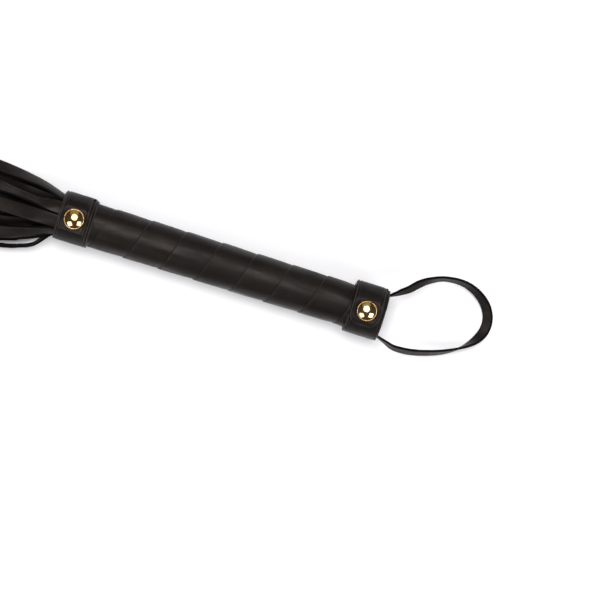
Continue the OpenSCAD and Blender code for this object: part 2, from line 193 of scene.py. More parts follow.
def metal(name, color, rough, scratches=900):
    """Polished or drawn metal with faint scratches and cloudy tarnish."""
    surface = Surface(name)
    tarnished = [0.9 * c ** 1.4 for c in color]
    bright = [c ** 0.8 for c in color]
    tint = surface.ramp(surface.noise(260, Detail=3), tarnished, bright, 0.38, 0.62)
    hairs = surface.noise(scratches, Detail=5, Distortion=2)
    gloss = surface.remap(hairs, rough * 0.6, rough * 1.5)
    return surface.finish(Base_Color=tint, Roughness=gloss, Metallic=1.0)


def turned_wood(name):
    surface = Surface(name)
    rings = surface.noise(900, surface.stretched(0.08), Detail=5)
    tint = surface.ramp(rings, (0.30, 0.17, 0.08), (0.55, 0.36, 0.19))
    return surface.finish(Base_Color=tint, Roughness=0.6)


def floor_paper(name):
    surface = Surface(name)
    tint = surface.ramp(surface.noise(8, Detail=2), (0.90, 0.89, 0.905), (0.93, 0.925, 0.94))
    return surface.finish(Base_Color=tint, Roughness=0.9)


WRAP_LEATHER = leather("wrap_leather", (0.0040, 0.0029, 0.0025), (0.0062, 0.0046, 0.0040),
                       shine=0.18, edge_highlight=0.4)
CUFF_LEATHER = leather("cuff_leather", (0.0036, 0.0029, 0.0027), (0.0054, 0.0044, 0.0040))
TAIL_LEATHER = leather("tail_leather", (0.0034, 0.0026, 0.0022), (0.0066, 0.0050, 0.0042),
                       rough=(0.40, 0.56), pebble=1100)
# Painted shade: a darker, duller copy of the tail leather for the tails under the top ring.
SHADED_TAIL_LEATHER = leather("tail_leather_painted_shade", (0.0024, 0.0018, 0.0016),
                             (0.0044, 0.0034, 0.0030), rough=(0.46, 0.62), pebble=1100,
                             shine=0.10)
STRAP_LEATHER = leather("strap_leather", (0.0040, 0.0033, 0.0031), (0.0066, 0.0054, 0.0050),
                        rough=(0.42, 0.56), pebble=1200)
# Painted light: a much lighter copy of the strap leather, for the strap's back where the lamps
# light it.
STRAP_BACK_PAINTED_LIGHT = leather("strap_back_painted_light", (0.024, 0.0215, 0.0205), (0.042, 0.038, 0.036),
                     rough=(0.50, 0.66), pebble=1400)
EDGE_LEATHER = leather("painted_edge", (0.0014, 0.0011, 0.0010), (0.0026, 0.0021, 0.0019),
                       rough=(0.60, 0.78), shine=0.045, edge_highlight=0.1)
RAW_LEATHER = leather("raw_leather", (0.075, 0.045, 0.026), (0.13, 0.085, 0.052),
                      rough=(0.65, 0.85))
BRASS = metal("polished_brass", (0.88, 0.60, 0.24), 0.12)
# Painted reflection: darker brass on a stud's bead, so the rim shows a dimmer reflection.
DIMMED_RIM_BRASS = metal("brass_rim_painted_dim_reflection", (0.58, 0.49, 0.35), 0.24)
# Painted reflection: near-black brass on a stud's outer slope, for the dark leather it mirrors.
DARK_REFLECTION_BRASS = metal("brass_painted_dark_reflection", (0.075, 0.040, 0.013), 0.42)
NAIL_STEEL = metal("nail_steel", (0.55, 0.55, 0.57), 0.30, scratches=500)
WOOD = turned_wood("turned_wood")


# ---- Mesh helpers

ROUND = [math.radians(a) for a in (0, 30, 60, 90)]      # steps of a rounded edge


def mesh_piece(name, points, faces, material, body=None, sharp=50.0):
    """A smooth-shaded mesh from millimetre points, with edges sharper than an angle kept crisp."""
    mesh = bpy.data.meshes.new(name)
    mesh.from_pydata([tuple(c * MM for c in p) for p in points], [], faces)
    work = bmesh.new()
    work.from_mesh(mesh)
    bmesh.ops.recalc_face_normals(work, faces=work.faces)
    for face in work.faces:
        face.smooth = True
    for edge in work.edges:
        if len(edge.link_faces) == 2:
            edge.smooth = edge.calc_face_angle(0.0) < math.radians(sharp)
    work.to_mesh(mesh)
    work.free()
    mesh.materials.append(material)
    piece = bpy.data.objects.new(name, mesh)
    bpy.context.scene.collection.objects.link(piece)
    if body:
        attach(piece, body)
    return piece


def tube_faces(rings, per, joined=False):
    """Faces between closed rings of points. The tube's ends are capped, or joined together."""
    faces = []
    for i in range(rings if joined else rings - 1):
        here, ahead = i * per, (i + 1) % rings * per
        for j in range(per):
            k = (j + 1) % per
            faces.append((here + j, here + k, ahead + k, ahead + j))
    if not joined:
        faces.append(tuple(range(per)))
        faces.append(tuple((rings - 1) * per + j for j in range(per)))
    return faces


def sheet_faces(rows, wide):
    """Faces between open rows of points."""
    faces = []
    for i in range(rows - 1):
        for j in range(wide - 1):
            a, b = i * wide + j, (i + 1) * wide + j
            faces.append((a, a + 1, b + 1, b))
    return faces


def strap_section(width, thick, across, corner):
    """Outline (across, through) of a cut strap, with slightly rounded edges."""
    half_w, half_t = width / 2, thick / 2
    section = []
    for centre_v, centre_h, turn in (
            (half_w - corner, half_t - corner, 0), (corner - half_w, half_t - corner, 90),
            (corner - half_w, corner - half_t, 180), (half_w - corner, corner - half_t, 270)):
        for a in ROUND:
            b = a + math.radians(turn)
            section.append((centre_v + corner * math.cos(b), centre_h + corner * math.sin(b)))
        if turn in (0, 180):
            end_v = -centre_v
            h = half_t if turn == 0 else -half_t
            for q in range(1, across):
                section.append((mix(centre_v, end_v, q / across), h))
    return section


CUT_BAND = 0.36     # width of the dark paint at a strap's cut edge, on each face


def paint_cut_edges(piece, section, back=None, upper_band=CUT_BAND):
    """Gives the faces along a strap's two cut edges, and its back, materials of their own; the
    wrist strap's lighter back is painted light. At the edge on the +v side the dark band is
    upper_band wide."""
    piece.data.materials.append(EDGE_LEATHER)
    if back:
        piece.data.materials.append(back)
    per = len(section)
    half = max(v for v, h in section)
    for face in piece.data.polygons:
        around = {index % per for index in face.vertices}
        if len(face.vertices) != 4 or len(around) != 2:
            continue
        a, b = (section[j] for j in around)
        if min(a[0], b[0]) > half - upper_band or max(a[0], b[0]) < CUT_BAND - half:
            face.material_index = 1
        elif back and a[1] + b[1] < 0:
            face.material_index = 2


# ---- Grip: one leather strip wound over itself, each turn lapping the turn before it

# Across the strip: place from its -X edge, and drop from the full radius
STRIP_PROFILE = [
    (0.35, -0.65), (0.08, -0.5), (0.0, -0.38), (0.05, -0.24), (0.18, -0.12), (0.42, -0.03),
    (0.75, 0.0), (1.6, 0.02), (6, -0.02), (11, -0.10), (16, -0.22), (19, -0.34), (20.4, -0.44),
    (21.1, -0.5), (21.7, -0.65)]
STRIP_W = 22
NEAR_EDGE, FAR_EDGE = 1, 20     # up to the first and past the second the strip's edge waves
FLAT_START = -66        # up to here the raised edge is pressed flat,
FLAT_FADE = 9           # and over this length it comes up
PINCH_START = 64        # from here to the butt cuff the wrap is gathered in


def wrap_radius(x, angle):
    """Radius of the wrap where a turn is highest: a little uneven, and gathered at the butt."""
    side, up = math.cos(angle), math.sin(angle)
    swell = 0.09 * wobble(x * 0.10, 3 * side, 3 * up)
    pull = 0.05 * wobble(x * 0.5, 1.2 * side, 1.2 * up + 9)
    folds = 0.22 + 0.24 * math.sin(5 * angle + 0.4 * x)
    pinch = ease((x - PINCH_START) / (GRIP_END - PINCH_START)) * folds
    return GRIP_R - 0.06 + swell + pull - pinch


def build_wrap():
    """A strip whose turns start at a raised, rounded -X edge and run under the next turn."""
    per_turn, most_turns = 90, 12
    first_turn = math.floor((-2 * GRIP_END - WRAP_SEAM_X) / WRAP_PITCH)
    points = []
    for i in range(most_turns * per_turn + 1):
        angle = 2 * math.pi * i / per_turn
        along = WRAP_SEAM_X + WRAP_PITCH * (first_turn + i / per_turn)
        if along + STRIP_W < -GRIP_END or along > GRIP_END:
            continue
        wave = 0.25 * wobble(i / 17, 3.1)
        raised = 0.15 + 0.85 * ease((along - FLAT_START) / FLAT_FADE)
        for v, drop in STRIP_PROFILE:
            at_start = v < NEAR_EDGE
            x = along + v + (wave if at_start or v > FAR_EDGE else 0)
            r = wrap_radius(x, angle) + (drop * raised if at_start else drop)
            x = max(-GRIP_END, min(GRIP_END, x))
            points.append((x, r * math.sin(angle), r * math.cos(angle)))
    wide = len(STRIP_PROFILE)
    faces = []
    for face in sheet_faces(len(points) // wide, wide):
        along = [points[corner][0] for corner in face]
        if max(along) - min(along) > 1e-4:
            faces.append(face)
    piece = mesh_piece("grip_wrap_strip", points, faces, WRAP_LEATHER, "handle", sharp=60)
    clean_clamped(piece)
    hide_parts("grip_wrap")


def clean_clamped(piece):
    """Joins the points that were trimmed to the same place and drops what has no area."""
    work = bmesh.new()
    work.from_mesh(piece.data)
    bmesh.ops.remove_doubles(work, verts=work.verts, dist=1e-7)
    bmesh.ops.dissolve_degenerate(work, dist=1e-8, edges=work.edges)
    loose = [v for v in work.verts if not v.link_faces]
    bmesh.ops.delete(work, geom=loose, context="VERTS")
    work.to_mesh(piece.data)
    work.free()


# ---- Cuffs

CUFF_ROUND = 0.45       # radius at a cuff's outer corners
CUFF_BEVEL = 0.3        # bevel at its inner ones
CREASE_IN = 1.3         # from an edge to the tooled line along it
CREASE_PITCH = 1.4      # from that line to a second one
STUD_FLAT = 6.2         # the leather is pressed flat this far from a stud's middle,
STUD_EASE = 3.2         # and over this much further it eases back up
TONGUE_ROUND = 0.42     # radius at a tongue's upper edges
TONGUE_SKIRT = 0.25     # how far a tongue's sides spread down to the band


class Cuff:
    """A cuff from x0 to x1, the stud on it and the tongue under the stud."""

    def __init__(self, name, x0, x1, widen, tongue_w, tongue_reach, tongue_corner):
        self.name, self.x0, self.x1, self.widen = name, x0, x1, widen
        self.tongue_w = tongue_w
        self.tongue_reach = tongue_reach
        self.tongue_corner = tongue_corner
        low, high = box_mm(f"{name}_stud_cap")
        self.stud_x = (low.x + high.x) / 2
        self.seat = low.z


def wide_round(angle, r, widen):
    """Point (y, z) on a circle drawn out sideways; angle 0 is +Y."""
    y, z = r * math.cos(angle), r * math.sin(angle)
    side = widen if y > 1e-9 else -widen if y < -1e-9 else 0.0
    return y + side * ease(abs(y) / 1.5), z


def press_for_stud(x, y, z, cuff, seat):
    """Height of leather squeezed down to a flat seat under the stud."""
    distance = math.hypot(x - cuff.stud_x, y)
    if z <= seat or distance > STUD_FLAT + STUD_EASE:
        return z
    return mix(seat - 0.05, z, ease((distance - STUD_FLAT) / STUD_EASE))


def edge_crease(x, x0, x1):
    """Depth of the tooled lines along the ends of a cuff, two at the tail cuff's grip end."""
    places = [x0 + CREASE_IN, x1 - CREASE_IN]
    if x0 < 0:
        places.append(x1 - CREASE_IN - CREASE_PITCH)
    depth = 0.0
    for place in places:
        line = math.exp(-((x - place) / 0.26) ** 2)
        lips = math.exp(-((abs(x - place) - 0.5) / 0.25) ** 2)
        depth += 0.33 * line - 0.13 * lips
    return depth


def rounded_off(radius, to_edge):
    """How far a rounded edge has dropped, this far from the edge."""
    return radius - math.sqrt(max(0.0, radius ** 2 - max(0.0, radius - to_edge) ** 2))


def build_cuff_band(cuff, node):
    """The band: a closed leather ring with rounded ends, tooled lines and a little give."""
    sides, straight = 160, 64
    x0, x1, widen = cuff.x0, cuff.x1, cuff.widen
    start, end = x0 + CUFF_ROUND, x1 - CUFF_ROUND
    stations = [x0 + CUFF_ROUND * (1 - math.cos(a)) for a in ROUND]
    stations += [start + (end - start) * i / straight for i in range(1, straight)]
    stations += [x1 - CUFF_ROUND * (1 - math.cos(a)) for a in reversed(ROUND)]
    rings = []
    for x in stations:
        give = 0.10 * math.sin(math.pi * (x - x0) / (x1 - x0))
        drop = rounded_off(CUFF_ROUND, min(x - x0, x1 - x)) + edge_crease(x, x0, x1)
        rings.append((x, CUFF_R - 0.12 - drop + give))
    rings += [(x1, CUFF_IN + 0.25), (x1 - CUFF_BEVEL, CUFF_IN),
              (x0 + CUFF_BEVEL, CUFF_IN), (x0, CUFF_IN + 0.25)]
    points = []
    for x, r in rings:
        outside = r > CUFF_IN + 1
        for j in range(sides):
            angle = 2 * math.pi * j / sides
            ripple = 0.05 * wobble(x * 0.25, 3 * math.cos(angle), 3 * math.sin(angle) + widen)
            y, z = wide_round(angle, r + (ripple if outside else 0), widen)
            if outside:
                z = press_for_stud(x, y, z, cuff, cuff.seat - TONGUE_T)
            points.append((x, y, z))
    faces = tube_faces(len(rings), sides, joined=True)
    piece = mesh_piece(f"{cuff.name}_cuff_band", points, faces, CUFF_LEATHER, "handle")
    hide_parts(node)


def tongue_row(x0, x1):
    """Across a tongue: place along the grip, and drop from its upper face."""
    across = 44
    row = [(x0 - TONGUE_SKIRT, -TONGUE_T)]
    for a in ROUND:
        row.append((x0 + TONGUE_ROUND * (1 - math.cos(a)), -TONGUE_ROUND * (1 - math.sin(a))))
    for q in range(1, across):
        row.append((mix(x0 + TONGUE_ROUND, x1 - TONGUE_ROUND, q / across), 0.0))
    for a in reversed(ROUND):
        row.append((x1 - TONGUE_ROUND * (1 - math.cos(a)), -TONGUE_ROUND * (1 - math.sin(a))))
    return row + [(x1 + TONGUE_SKIRT, -TONGUE_T)]


def build_tongue(cuff):
    """The strap's lapped end: it rises out of the band on the +Y side and crosses the top."""
    rows = 84
    start = math.radians(-28)
    tip = math.pi - math.acos((cuff.tongue_reach - cuff.widen) / TONGUE_R)
    arc = TONGUE_R * (tip - start)
    x_mid = cuff.stud_x - 0.4
    half_w = cuff.tongue_w / 2
    corner = cuff.tongue_corner
    points = []
    for i in range(rows + 1):
        share = mix(i / rows, 1 - (1 - i / rows) ** 1.6, 0.6)
        angle = mix(start, tip, share)
        to_tip = arc * (1 - share)
        taper = ease((angle - start) / math.radians(55))
        inset = 0.0
        if to_tip < corner:
            inset = corner - math.sqrt(max(0.0, corner ** 2 - (corner - to_tip) ** 2))
        x0 = mix(cuff.x0 + 0.1, x_mid - half_w, taper) + inset
        x1 = mix(cuff.x1 - 0.1, x_mid + half_w, taper) - inset
        rise = ease((angle - start) / math.radians(48))
        top = mix(CUFF_R - 0.20, TONGUE_R - 0.03, rise)
        for x, drop in tongue_row(x0, x1):
            margin = min(x - x0, x1 - x, to_tip)
            low = -TONGUE_T - 0.2
            if drop > -TONGUE_T:
                low = drop - rounded_off(TONGUE_ROUND, to_tip)
                if drop > -TONGUE_ROUND:
                    low -= 0.42 * math.exp(-((margin - CREASE_IN) / 0.32) ** 2)
            ripple = 0.05 * wobble(x * 0.3, angle * 3, 7.7 + cuff.widen)
            lift = 0.45 * ease((x - x_mid) / half_w) * ease((4.0 - to_tip) / 4.0)
            y, z = wide_round(angle, top + low + ripple + lift, cuff.widen)
            points.append((x, y, press_for_stud(x, y, z, cuff, cuff.seat)))
    wide = len(points) // (rows + 1)
    points += [(x, y + 0.1, z - TONGUE_T) for x, y, z in points[-wide:]]
    piece = mesh_piece(f"{cuff.name}_cuff_tongue", points, sheet_faces(rows + 2, wide),
                       CUFF_LEATHER, "handle")
    piece.data.materials.append(EDGE_LEATHER)
    for face in piece.data.polygons:
        out = Vector((0, face.center.y, face.center.z)).normalized()
        if abs(face.normal.dot(out)) < 0.5:
            face.material_index = 1


# ---- Studs: a polished dome over a rolled rim

def stud_profile(stud_r, stud_h):
    """Outline (radius, height) from the top down, and where its bead and its foot begin."""
    bead = 0.08
    bead_at = stud_r - 0.74
    dome_edge = bead_at - bead - 0.05
    dome_r, dome_steps = 8.5, 24
    edge_h = math.sqrt(dome_r ** 2 - dome_edge ** 2)
    dome_low = stud_h - 0.1 - (dome_r - edge_h)
    profile = []
    for i in range(dome_steps + 1):
        r = dome_edge * i / dome_steps
        profile.append((r, dome_low + math.sqrt(dome_r ** 2 - r * r) - edge_h))
    profile.append((dome_edge + 0.03, dome_low - 0.10))
    for turn in range(150, -1, -30):
        b = math.radians(turn)
        profile.append((bead_at + bead * math.cos(b), dome_low - 0.06 + bead * math.sin(b)))
    foot_from = len(profile) - 1
    profile += [(bead_at + bead + 0.04, dome_low - 0.16), (stud_r - 0.12, dome_low - 0.52),
                (stud_r, dome_low - 0.70), (stud_r - 0.25, 0.0)]
    return profile, dome_steps, foot_from


def build_stud(cuff, node):
    low, high = box_mm(node)
    profile, bead_from, foot_from = stud_profile((high.x - low.x) / 2, high.z - low.z)
    sides = 96
    points = [(cuff.stud_x, 0, cuff.seat + profile[0][1])]
    for r, h in profile[1:]:
        for j in range(sides):
            angle = 2 * math.pi * j / sides
            points.append((cuff.stud_x + r * math.cos(angle), r * math.sin(angle),
                           cuff.seat + h))
    faces = [(0, 1 + j, 1 + (j + 1) % sides) for j in range(sides)]
    for i in range(len(profile) - 2):
        for j in range(sides):
            k = (j + 1) % sides
            a, b = 1 + i * sides, 1 + (i + 1) * sides
            faces.append((a + j, b + j, b + k, a + k))
    last = 1 + (len(profile) - 2) * sides
    faces.append(tuple(last + j for j in range(sides)))
    piece = mesh_piece(f"{cuff.name}_stud_dome", points, faces, BRASS, "handle", sharp=35)
    # The bead takes dimmer brass and the foot near-black brass: painted dim and dark reflections.
    piece.data.materials.append(DIMMED_RIM_BRASS)
    piece.data.materials.append(DARK_REFLECTION_BRASS)
    for face in piece.data.polygons:
        if min(face.vertices) > foot_from * sides:
            face.material_index = 2
        elif min(face.vertices) > bead_from * sides:
            face.material_index = 1
    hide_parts(node)


# ---- Wrist strap

STRAP_IN = math.sqrt(CUFF_IN ** 2 - (STRAP_W / 2) ** 2) + BUTT_WIDEN - STRAP_T / 2 - 0.05
STRAP_REACH = 60.2
STRAP_START = 6.6
STRAP_DARK = 0.9        # width of the dark band along the strap's upper edge, on both faces
# The free loop: share of its reach, side as a multiple of the clamped strap's, drop as a share of
# the way to the floor, and how far the upper edge is turned from flat and outward (0) through
# upright (90)
LOOP_ROUTE = [
    (0.071, 1.65, 0.03, 51), (0.153, 2.02, 0.10, 48), (0.250, 2.34, 0.19, 58),
    (0.396, 2.64, 0.36, 68), (0.563, 2.74, 0.54, 64), (0.705, 2.65, 0.70, 56),
    (0.836, 2.37, 0.84, 46), (0.940, 1.94, 0.95, 32), (0.998, 1.39, 1.00, 20),
    (1.000, 0.84, 1.00, 20), (0.953, 0.33, 1.00, 42), (0.866, -0.14, 0.98, 76),
    (0.742, -0.55, 0.92, 100), (0.591, -0.89, 0.75, 113), (0.420, -1.15, 0.52, 118),
    (0.267, -1.30, 0.31, 120), (0.146, -1.34, 0.17, 118), (0.067, -1.31, 0.07, 112)]
# In the cuff and just outside it, either side: place past the mouth, side, and lean
LEFT_END = [(-14, STRAP_IN, 90), (-7, STRAP_IN, 90), (-1, STRAP_IN + 0.1, 88),
            (2.6, 13.7, 76), (6.0, 16.1, 62)]
RIGHT_END = [(6.4, -14.1, 103), (2.6, -12.9, 96), (-1, -STRAP_IN - 0.1, 92),
             (-7, -STRAP_IN, 90), (-14, -STRAP_IN, 90)]


def strap_path():
    """The strap's middle from end to end: place past the mouth, side, height and lean."""
    path = [(s, side, 0.0, lean) for s, side, lean in LEFT_END]
    for share, side, drop, lean in LOOP_ROUTE:
        turn = math.radians(lean)
        lowest = (FLOOR_Z + abs(math.sin(turn)) * STRAP_W / 2
                  + abs(math.cos(turn)) * STRAP_T / 2 + 0.1)
        s = STRAP_START + share * (STRAP_REACH - STRAP_START)
        path.append((s, side * STRAP_IN, drop * lowest, lean))
    return path + [(s, side, 0.0, lean) for s, side, lean in RIGHT_END]


def smooth_route(route, t):
    """Point on the smooth curve through a list of points; whole numbers are the points."""
    last = len(route) - 1
    i = min(int(t), last - 1)
    f = t - i
    p = [Vector(route[max(0, min(last, i + k))]) for k in (-1, 0, 1, 2)]
    return 0.5 * (2 * p[1] + (p[2] - p[0]) * f + (2 * p[0] - 5 * p[1] + 4 * p[2] - p[3]) * f * f
                  + (3 * p[1] - p[0] - 3 * p[2] + p[3]) * f ** 3)


def build_wrist_strap():
    steps = 8
    path = strap_path()
    rings = (len(path) - 1) * steps + 1
    section = strap_section(STRAP_W, STRAP_T, across=10, corner=0.35)
    points = []
    for i in range(rings):
        t = i / steps
        here = smooth_route(path, t)
        ahead = smooth_route(path, min(t + 0.1, len(path) - 1))
        behind = smooth_route(path, max(t - 0.1, 0))
        along = (ahead - behind).to_3d().normalized()
        out = Vector((-along.y, along.x, 0)).normalized()
        up = (Vector((0, 0, 1)) - along.z * along).normalized()
        turn = math.radians(here[3])
        wide = math.cos(turn) * out + math.sin(turn) * up
        thick = along.cross(wide)
        centre = Vector((MOUTH_X + here[0], here[1], here[2]))
        for v, h in section:
            edge = 0.05 * wobble(i * 0.23, math.copysign(4.0, v)) * abs(2 * v / STRAP_W) ** 3
            p = centre + (v + math.copysign(edge, v)) * wide + h * thick
            points.append((p.x, p.y, max(p.z, LOWEST)))
    piece = mesh_piece("wrist_strap_leather", points, tube_faces(rings, len(section)),
                       STRAP_LEATHER)
    # The back takes the lighter strap leather, which is painted light.
    paint_cut_edges(piece, section, STRAP_BACK_PAINTED_LIGHT, upper_band=STRAP_DARK)
    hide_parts("wrist_strap", "strap_end_left", "strap_end_right")
    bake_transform(piece)


# ---- Tails: cut straps that leave the cuff in rings, then settle flat on the floor

ROOT_R = CUFF_IN - 0.3
NECK_R = 6.4
NECK_L = 15.0
SWING_X = -MOUTH_X - 6.0
ARCH_R = 34.0           # the outermost upper tails settle in an arch of this radius,
ARCH_EDGE = 10.7        # and this is their radius in the cuff
TAIL_L = 350.0
TAIL_TRIM = 4           # each tail is up to three times this shorter
TAIL_LEAN = 5.0
TAIL_CURVE = 16.0
CURVE_START = 20.7      # the bundle's sideways curve begins this far past the cuff
OPEN_UPPER = 44         # the upper tails spread over this length from just inside the cuff,
OPEN_LOWER = 31         # and the lower ones over this length
EDGE_TURN = 22          # the tails that stand on edge turn over this length
TAIL_IN = 9.6           # the tails start this far inside the cuff,
LAST_TAIL_IN = 4.6      # and the innermost ones this far
END_SKEW = 0.4          # how far a tail's cut end is from square, per mm across
RING_COUNTS = (4, 3, 2, 1)
RING_STARTS = (1, 5, 8, 10)
SETTLE_UPPER = (60, 36, 33, 30)     # length over which the upper tails sink, ring by ring
SETTLE_LOWER = 31       # and over which the lower ones do
UPPER_FAN = ((-15, 1, 10.5, 22), (-10, 0.5, 13), (-6, 7), (0.5,))
LOWER_FAN = ((-27.5, -6.5, 5.5, 17.5), (-23.5, 1, 13), (-4.5, 7), (1,))
# Side of four tails at distances past the cuff: the two that stand on edge along the -Y side of
# the bundle, and the outermost upper ones on its +Y and -Y sides
STRAY_SIDE = ((-12, -9.9), (-5, -9.9), (0, -10.9), (2.5, -13.0), (5, -16.2), (8, -19.8),
              (12, -22.3), (16, -23.7), (21, -25.4), (28, -27.0), (45, -29.4), (70, -31.0),
              (400, -31.0))
INNER_SIDE = ((-12, -6.5), (-5, -6.5), (0, -8.4), (3, -11.2), (6.6, -14.2), (11.6, -17.2),
              (17, -19.4), (22, -21.4), (32, -24.2), (45, -26.4), (70, -28.2), (400, -28.2))
TOP_SIDE = ((-12, 9.9), (-4, 9.9), (2, 11.2), (6, 12.5), (12, 14.0), (23, 15.3), (41, 16.6),
            (70, 17.4), (400, 17.4))
LOW_SIDE = ((-12, -9.9), (-4, -9.9), (2, -10.7), (7, -12.2), (12, -14.2), (17, -15.8),
            (26, -18.6), (38, -20.4), (60, -21.6), (400, -21.6))
# How far the four top tails are rolled, in degrees, where the bundle opens
TOP_ROLL = (6, 16, 42, 4)


def table(rows, at):
    """Smooth value between the rows of a short (distance, value) list."""
    last = len(rows) - 2
    i = 0
    while i < last and at > rows[i + 1][0]:
        i += 1
    (x0, y0), (x1, y1) = rows[i], rows[i + 1]
    slope = (y1 - y0) / (x1 - x0)
    before = (y0 - rows[i - 1][1]) / (x0 - rows[i - 1][0]) if i else slope
    after = (rows[i + 2][1] - y1) / (rows[i + 2][0] - x1) if i < last else slope
    m0, m1 = (before + slope) / 2 * (x1 - x0), (slope + after) / 2 * (x1 - x0)
    f = max(0.0, min(1.0, (at - x0) / (x1 - x0)))
    f2, f3 = f * f, f * f * f
    return ((2 * f3 - 3 * f2 + 1) * y0 + (f3 - 2 * f2 + f) * m0
            + (3 * f2 - 2 * f3) * y1 + (f3 - f2) * m1)


class Tail:
    """One tail: number 1 to 10 in the upper half, 11 to 20 below, outer ring first."""

    def __init__(self, number):
        self.seed = number
        self.upper = number <= 10
        place = number if self.upper else number - 10
        self.ring = max(ring for ring, first in enumerate(RING_STARTS) if place >= first)
        self.slot = place - RING_STARTS[self.ring]
        self.edge = not self.upper and self.slot == 0 and self.ring <= 1
        self.top = self.upper and self.ring == 0
        self.length = TAIL_L - TAIL_TRIM * ((number * 7) % 4)
        self.fan = (UPPER_FAN if self.upper else LOWER_FAN)[self.ring][self.slot]
        self.r_in = ROOT_R - 0.1 - TAIL_T / 2 - self.ring * LAYER_PITCH
        self.settle_l = SETTLE_UPPER[self.ring] if self.upper else SETTLE_LOWER
        # Where it starts round the cuff, as an angle from straight up or straight down
        count = RING_COUNTS[self.ring]
        self.start = (self.slot - (count - 1) / 2) * math.pi / count

    def curve(self, s):
        return -TAIL_CURVE * (max(s - CURVE_START, 0) / TAIL_L) ** 2

    def start_z(self):
        return self.r_in * math.cos(self.start) * (1 if self.upper else -1)

    def on_edge(self, s):
        """Middle (y, z), turn and bow of a tail that stands on edge, s past the cuff."""
        t = ease((s + 2) / EDGE_TURN)
        lean = math.radians(84 if self.ring else 79)
        rest_z = FLOOR_Z + TAIL_W / 2 * math.sin(lean) + TAIL_T / 2 * math.cos(lean)
        y = table(INNER_SIDE if self.ring else STRAY_SIDE, s) + self.curve(s)
        z = mix(self.start_z(), rest_z, t) + self.ring * 1.7 * math.sin(math.pi * t)
        return y, z, mix(self.start, -lean, t), mix(1 / self.r_in, 0.012, t)

    def resting(self, u):
        """Where a tail ends up: middle (y, z), turn and bow, for a place u across the bundle."""
        low = FLOOR_Z + TAIL_T / 2
        if not self.upper:
            return u, low + self.ring * LAYER_PITCH, 0.0, 1 / 2000
        r = ARCH_R - ARCH_EDGE + self.r_in
        turn = u / r
        z = low + 7 * LAYER_PITCH + 0.3 - self.ring * LAYER_PITCH + r * (math.cos(turn) - 1)
        return r * math.sin(turn), z, turn, 1 / r

    def settling(self, s):
        """Middle (y, z), turn and bow of a tail that settles flat, s past the cuff."""
        spread = ease((s + 1) / (OPEN_UPPER if self.upper else OPEN_LOWER))
        height = ease((s + (4 if self.top else 1)) / self.settle_l)
        wander = 0.4 * math.sin(math.radians(self.seed * 137 + s * 1.3))
        wander += 0.35 * wobble(s / 45, self.seed * 3.7)
        end_y, end_z, end_turn, end_bow = self.resting(self.fan + wander * spread)
        y = mix(self.r_in * math.sin(self.start), end_y, spread)
        y += self.curve(s) - TAIL_LEAN * ease((s + 1) / OPEN_UPPER)
        if self.top and self.slot in (0, 3):
            y = table(TOP_SIDE if self.slot else LOW_SIDE, s) + self.curve(s)
        z = mix(self.start_z(), end_z, height)
        roll = 1.6 * wobble(s / 60, self.seed * 5.3, 2.0) * spread
        if self.top:
            opening = ease((s - 2) / 12) * ease((60 - s) / 25)
            z += opening * (0.6 + 0.5 * math.sin(s / 7.5 + 2.1 * self.slot))
            roll += TOP_ROLL[self.slot] * ease((s - 1) / 14) * ease((56 - s) / 30)
        turn = mix(self.start, end_turn, spread) + math.radians(roll)
        return y, z, turn, mix(1 / self.r_in, end_bow, spread)

    def point(self, s, v, h):
        """Place (y, z) of a point v across the tail and h through it, s past the cuff."""
        y, z, turn, bow = self.on_edge(s) if self.edge else self.settling(s)
        out = h - bow * v * v / 2
        up = out * math.cos(turn) - v * math.sin(turn)
        return y + v * math.cos(turn) + out * math.sin(turn), z + (up if self.upper else -up)

    def middle(self, s):
        y, z = self.point(s, 0, 0)
        return Vector((-MOUTH_X - s, y, z))


def tail_stations(start, length):
    """Close together where the bundle opens, longer along the straight run."""
    stations, s = [], start
    while s < length - 4:
        stations.append(s)
        s += 1.5 if s < 50 else 3.0 if s < 90 else 8.0
    return stations + [length]


def build_tail(number):
    tail = Tail(number)
    section = strap_section(TAIL_W, TAIL_T, across=8, corner=0.3)
    stations = tail_stations(-LAST_TAIL_IN if tail.ring == 3 else -TAIL_IN, tail.length)
    points = []
    for s in stations:
        middle = tail.middle(s)
        along = (tail.middle(s + 0.4) - tail.middle(s - 0.4)).normalized()
        turn = Vector((-1, 0, 0)).rotation_difference(along)
        skew = END_SKEW if s == tail.length else 0
        width_play = 1 + 0.02 * wobble(s / 70, number * 9.1)
        for v, h in section:
            y, z = tail.point(s, v * width_play, h)
            p = middle + turn @ Vector((0, y - middle.y, z - middle.z))
            points.append((p.x + skew * v, p.y, max(p.z, LOWEST)))
    # The top tails take the tail leather, the rest its darker copy, which is painted shade.
    piece = mesh_piece(f"tail_strap_{number:02d}", points,
                       tube_faces(len(stations), len(section)),
                       TAIL_LEATHER if tail.top else SHADED_TAIL_LEATHER)
    paint_cut_edges(piece, section)
    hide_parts(f"tail_{number:02d}")
    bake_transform(piece)


def build_root_roll():
    """The uncut ends of the tail leather, rolled round the core's neck inside the cuff."""
    turns, per_turn, pitch = 3, 60, 1.52
    x0, x1 = -GRIP_END - 0.3, -MOUTH_X + 9.9
    steps = turns * per_turn
    points = []
    for i in range(steps + 1):
        angle = 2 * math.pi * i / per_turn
        low = NECK_R + 0.17 + pitch * i / per_turn
        high = min(low + pitch - 0.12, ROOT_R)
        low = min(low, ROOT_R - 0.4)
        for x, r in ((x0, low), (x0, high), (x1, high), (x1, low)):
            points.append((x, r * math.cos(angle), r * math.sin(angle)))
    piece = mesh_piece("tail_root_roll", points, tube_faces(steps + 1, 4), TAIL_LEATHER,
                       "handle", sharp=40)
    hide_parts("tail_root_outer", "tail_root_middle")


